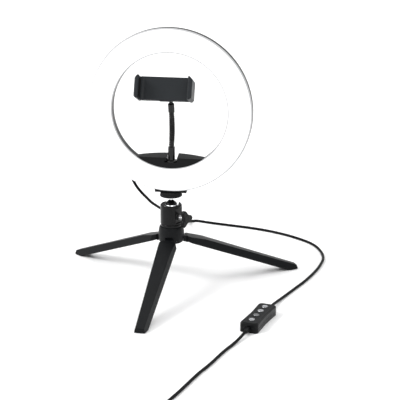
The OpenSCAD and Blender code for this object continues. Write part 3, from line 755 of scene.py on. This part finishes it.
def knurled(name, radius, low, high, teeth, depth, matrix):
    """A disc with fine V-grooves round its edge, bevelled at both faces."""
    face, edge, slope = radius - depth * 1.6, radius - depth * 0.2, depth * 1.2
    rows = [(face, low), (edge, low + slope), (edge, high - slope), (face, high)]
    count = teeth * 4
    vertices = []
    for r, h in rows:
        for k in range(count):
            a = 2 * math.pi * k / count
            own = r - depth * (0.5 + 0.5 * math.cos(k * math.pi / 2)) * (1 if r > radius - depth else 0.3)
            vertices.append(matrix @ Vector((own * math.cos(a), own * math.sin(a), h)))
    faces = [tuple(reversed(range(count))), tuple(range(3 * count, 4 * count))]
    for i in range(3):
        for k in range(count):
            m = (k + 1) % count
            faces.append((i * count + k, i * count + m, (i + 1) * count + m, (i + 1) * count + k))
    piece = add_mesh(name, vertices, faces)
    tidy_normals(piece)
    return split_edges(piece, 50)


def make_platform():
    """The knurled disc and, on it, the rubber pad with four round grooves."""
    low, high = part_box("platform")
    radius = (high.x - low.x) / 2
    spot = upright(AXIS.x, AXIS.y, low.z)
    disc = knurled("platform_disc", radius, 0.4 * MM, high.z - low.z, 72, 0.35 * MM, spot)
    stand_for(disc, "platform")
    low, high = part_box("platform_pad")
    height = (high.z - low.z) / MM
    r = (high.x - low.x) / 2 / MM
    bore = 3.3
    profile = [(bore, 0), (r, 0), (r, height - 0.4), (r - 0.4, height)]
    for groove in (11.2, 9.2, 7.2, 5.2):
        profile += [
            (groove + 0.35, height), (groove + 0.15, height - 0.5), (groove - 0.15, height - 0.5),
            (groove - 0.35, height),
        ]
    profile += [(bore, height)]
    pad = lathe("platform_pad_rings", mm(profile), upright(AXIS.x, AXIS.y, low.z), 72, closed=True)
    stand_for(split_edges(pad, 40), "platform_pad")


def make_knob():
    """The lock knob: a star of three round lobes with a flat cap, on a ribbed steel shank."""
    joint = {j["name"]: j for j in frame["joints"]}["lock_knob_turn"]
    way = Vector(joint["axis"]).normalized()
    reach = 13.6  # from the head's axis to the root of the shank
    origin = Vector((AXIS.x, AXIS.y, Vector(joint["pos_m"]).z)) + way * reach * MM
    matrix = frame_of(origin, way, (0, 0, 1))
    waist, lobe_height, first_lobe = 6.1, 5.5, math.radians(25)
    corners = 96
    outline = []
    for k in range(corners):
        a = 2 * math.pi * k / corners
        lobe = 0.5 + 0.5 * math.cos(3 * (a - first_lobe))
        r = waist + lobe_height * lobe ** 1.4
        outline.append((r * MM * math.cos(a), r * MM * math.sin(a)))
    near, thickness = 6.2, 4.8
    star = prism("knob_star", outline, thickness * MM, matrix @ Matrix.Translation((0, 0, near * MM)))
    stand_for(bevelled(star, 0.0012, 4, 50), "lock_knob")
    ribs = []
    for k in range(5):
        z = 0.9 + k * 1.05
        ribs += [(2.65, z), (3.05, z + 0.2), (3.05, z + 0.55), (2.65, z + 0.75)]
    shank = lathe("knob_shank", mm([
        (0, -1.8), (2.9, -1.8), (3.1, -1.6), (3.1, 0.5), *ribs, (2.65, 6.3), (4.2, 6.6), (0, 6.6),
    ]), matrix, 48)
    cap = lathe("knob_cap", mm([
        (0, 10.6), (5.2, 10.6), *arc(4.8, 10.8, 0.4, 0, 90, 4), (3.7, 11.2), (3.4, 10.9), (0, 10.9),
    ]), matrix, 48)
    for extra, slot in ((shank, "steel"), (cap, "black_plastic")):
        paint(split_edges(extra, 35), slot)
        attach(extra, "knob")


# Remote

CAP_R = 3.5  # radius of a button's cap, in millimetres


def make_buttons():
    """The round caps of the remote, dished on top, each on its own body."""
    caps = []
    for name in ("power", "mode", "bright", "dim"):
        low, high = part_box("button_" + name)
        foot, top = low.z / MM, high.z / MM
        profile = [
            (0, foot), (CAP_R + 0.8, foot), (CAP_R + 0.8, foot + 0.8), (CAP_R, foot + 0.8),
            (CAP_R, top - 0.5), *arc(CAP_R - 0.45, top - 0.45, 0.45, 0, 90, 4), (CAP_R - 1.1, top - 0.02),
            (CAP_R - 1.3, top - 0.22), (0, top - 0.3),
        ]
        spot = upright((low.x + high.x) / 2, (low.y + high.y) / 2, 0)
        piece = lathe("button_cap_" + name, mm(profile), spot, 48)
        caps.append(stand_for(split_edges(piece, 40), "button_" + name))
    return caps


# CAD shapes that are kept, each with the width of its rounded edges, or 0 for crisp ones

SAME_CORNER = 2e-6
EDGES = {
    "rear_housing": 0.0, "bridge_cover": 0.0002, "led_board": 0.0001, "leds_warm": 0.00008,
    "leds_white": 0.00008, "housing_screws": 0.00015, "foot_insert": 0.0001, "neck_nut": 0.00015,
    "neck_sleeve": 0.0002, "neck_ball": 0.0, "socket_liner": 0.0001, "clamp_body": 0.0006,
    "clamp_jaw": 0.0006, "clamp_pad_right": 0.0003, "clamp_pad_left": 0.0003, "clamp_spring": 0.0001,
    "platform_screw": 0.0001, "head_body": 0.0003, "pressure_cup": 0.0001,
    "head_collar": 0.0003, "tripod_stud": 0.0001, "lock_screw": 0.0001, "tripod_hub": 0.0003,
    "leg_pins": 0.0001, "leg_front": 0.0007, "leg_right": 0.0007, "leg_left": 0.0007,
    "foot_front": 0.0003, "foot_right": 0.0003, "foot_left": 0.0003, "remote_top": 0.0004,
    "remote_base": 0.0003, "remote_board": 0.0001, "remote_boots": 0.0002, "usb_grip": 0.0006,
    "usb_shell": 0.00015,
    **{f"neck_link_{i}": 0.0 for i in range(1, 7)},
}
LOOK_OF = {"neck_sleeve": "black_gloss", **{f"neck_link_{i}": "black_gloss" for i in range(1, 7)}}


def keep_cad():
    """Welds the seams of each kept shape, so that its faces share their corners, and rounds its edges."""
    for node, width in EDGES.items():
        piece = frame["nodes"][node]
        paint(piece, LOOK_OF.get(node, SLOT_OF[node]))
        modifier = piece.modifiers.new("weld", "WELD")
        modifier.merge_threshold = SAME_CORNER
        if width:
            bevelled(piece, width)
        else:
            split_edges(piece, 30)
            shade_smooth(piece)


# Floor and light

def make_floor():
    half = 6
    corners = [(-half, -half, 0), (half, -half, 0), (half, half, 0), (-half, half, 0)]
    floor = add_mesh("floor", corners, [(0, 1, 2, 3)], smooth=False)
    material, shader = new_material("floor")
    m = Maker(material)
    m.link(m.mix(m.noise(3, 4), (0.93, 0.93, 0.93), (0.95, 0.95, 0.95)), shader.inputs["Base Color"])
    shader.inputs["Roughness"].default_value = 0.9
    shader.inputs["Specular IOR Level"].default_value = 0.1
    floor.data.materials.append(material)


def soft_sun(name, way, strength, spread):
    """An even light that comes from the way given. Its spread in degrees softens the shadows' edges."""
    light = bpy.data.objects.new(name, bpy.data.lights.new(name, "SUN"))
    bpy.context.scene.collection.objects.link(light)
    light.rotation_mode = "QUATERNION"
    light.rotation_quaternion = (-Vector(way)).to_track_quat("-Z", "Y")
    light.data.energy = strength
    light.data.angle = math.radians(spread)


def make_light():
    """A white overhead tent and a white backdrop, a dimmer band between them, and three soft suns."""
    soft_sun("key", (-0.95, -0.4, 0.8), 1.9, 24)
    soft_sun("fill", (0.45, -0.8, 0.7), 0.4, 30)
    soft_sun("rim", (0.9, 0.5, 0.9), 0.25, 18)
    world = bpy.data.worlds.new("studio")
    bpy.context.scene.world = world
    world.use_nodes = True
    m = Maker(world)
    apart = m.add("ShaderNodeSeparateXYZ")
    m.link(m.place.node.outputs["Generated"], apart.inputs["Vector"])
    tent = m.ramp(apart.outputs["Z"], [
        (0.0, WHITE), (0.16, WHITE), (0.22, (0.16, 0.16, 0.17)), (0.34, (0.26, 0.26, 0.27)),
        (0.52, WHITE), (1.0, WHITE),
    ])
    sky = world.node_tree.nodes["Background"]
    m.link(tent, sky.inputs["Color"])
    sky.inputs["Strength"].default_value = 1.1
    bpy.context.scene.view_settings.view_transform = "Standard"


make_cords(make_buttons())
make_diffuser()
make_housing_trim()
make_relief()
make_ball()
make_stem()
make_platform()
make_knob()
keep_cad()
make_floor()
make_light()
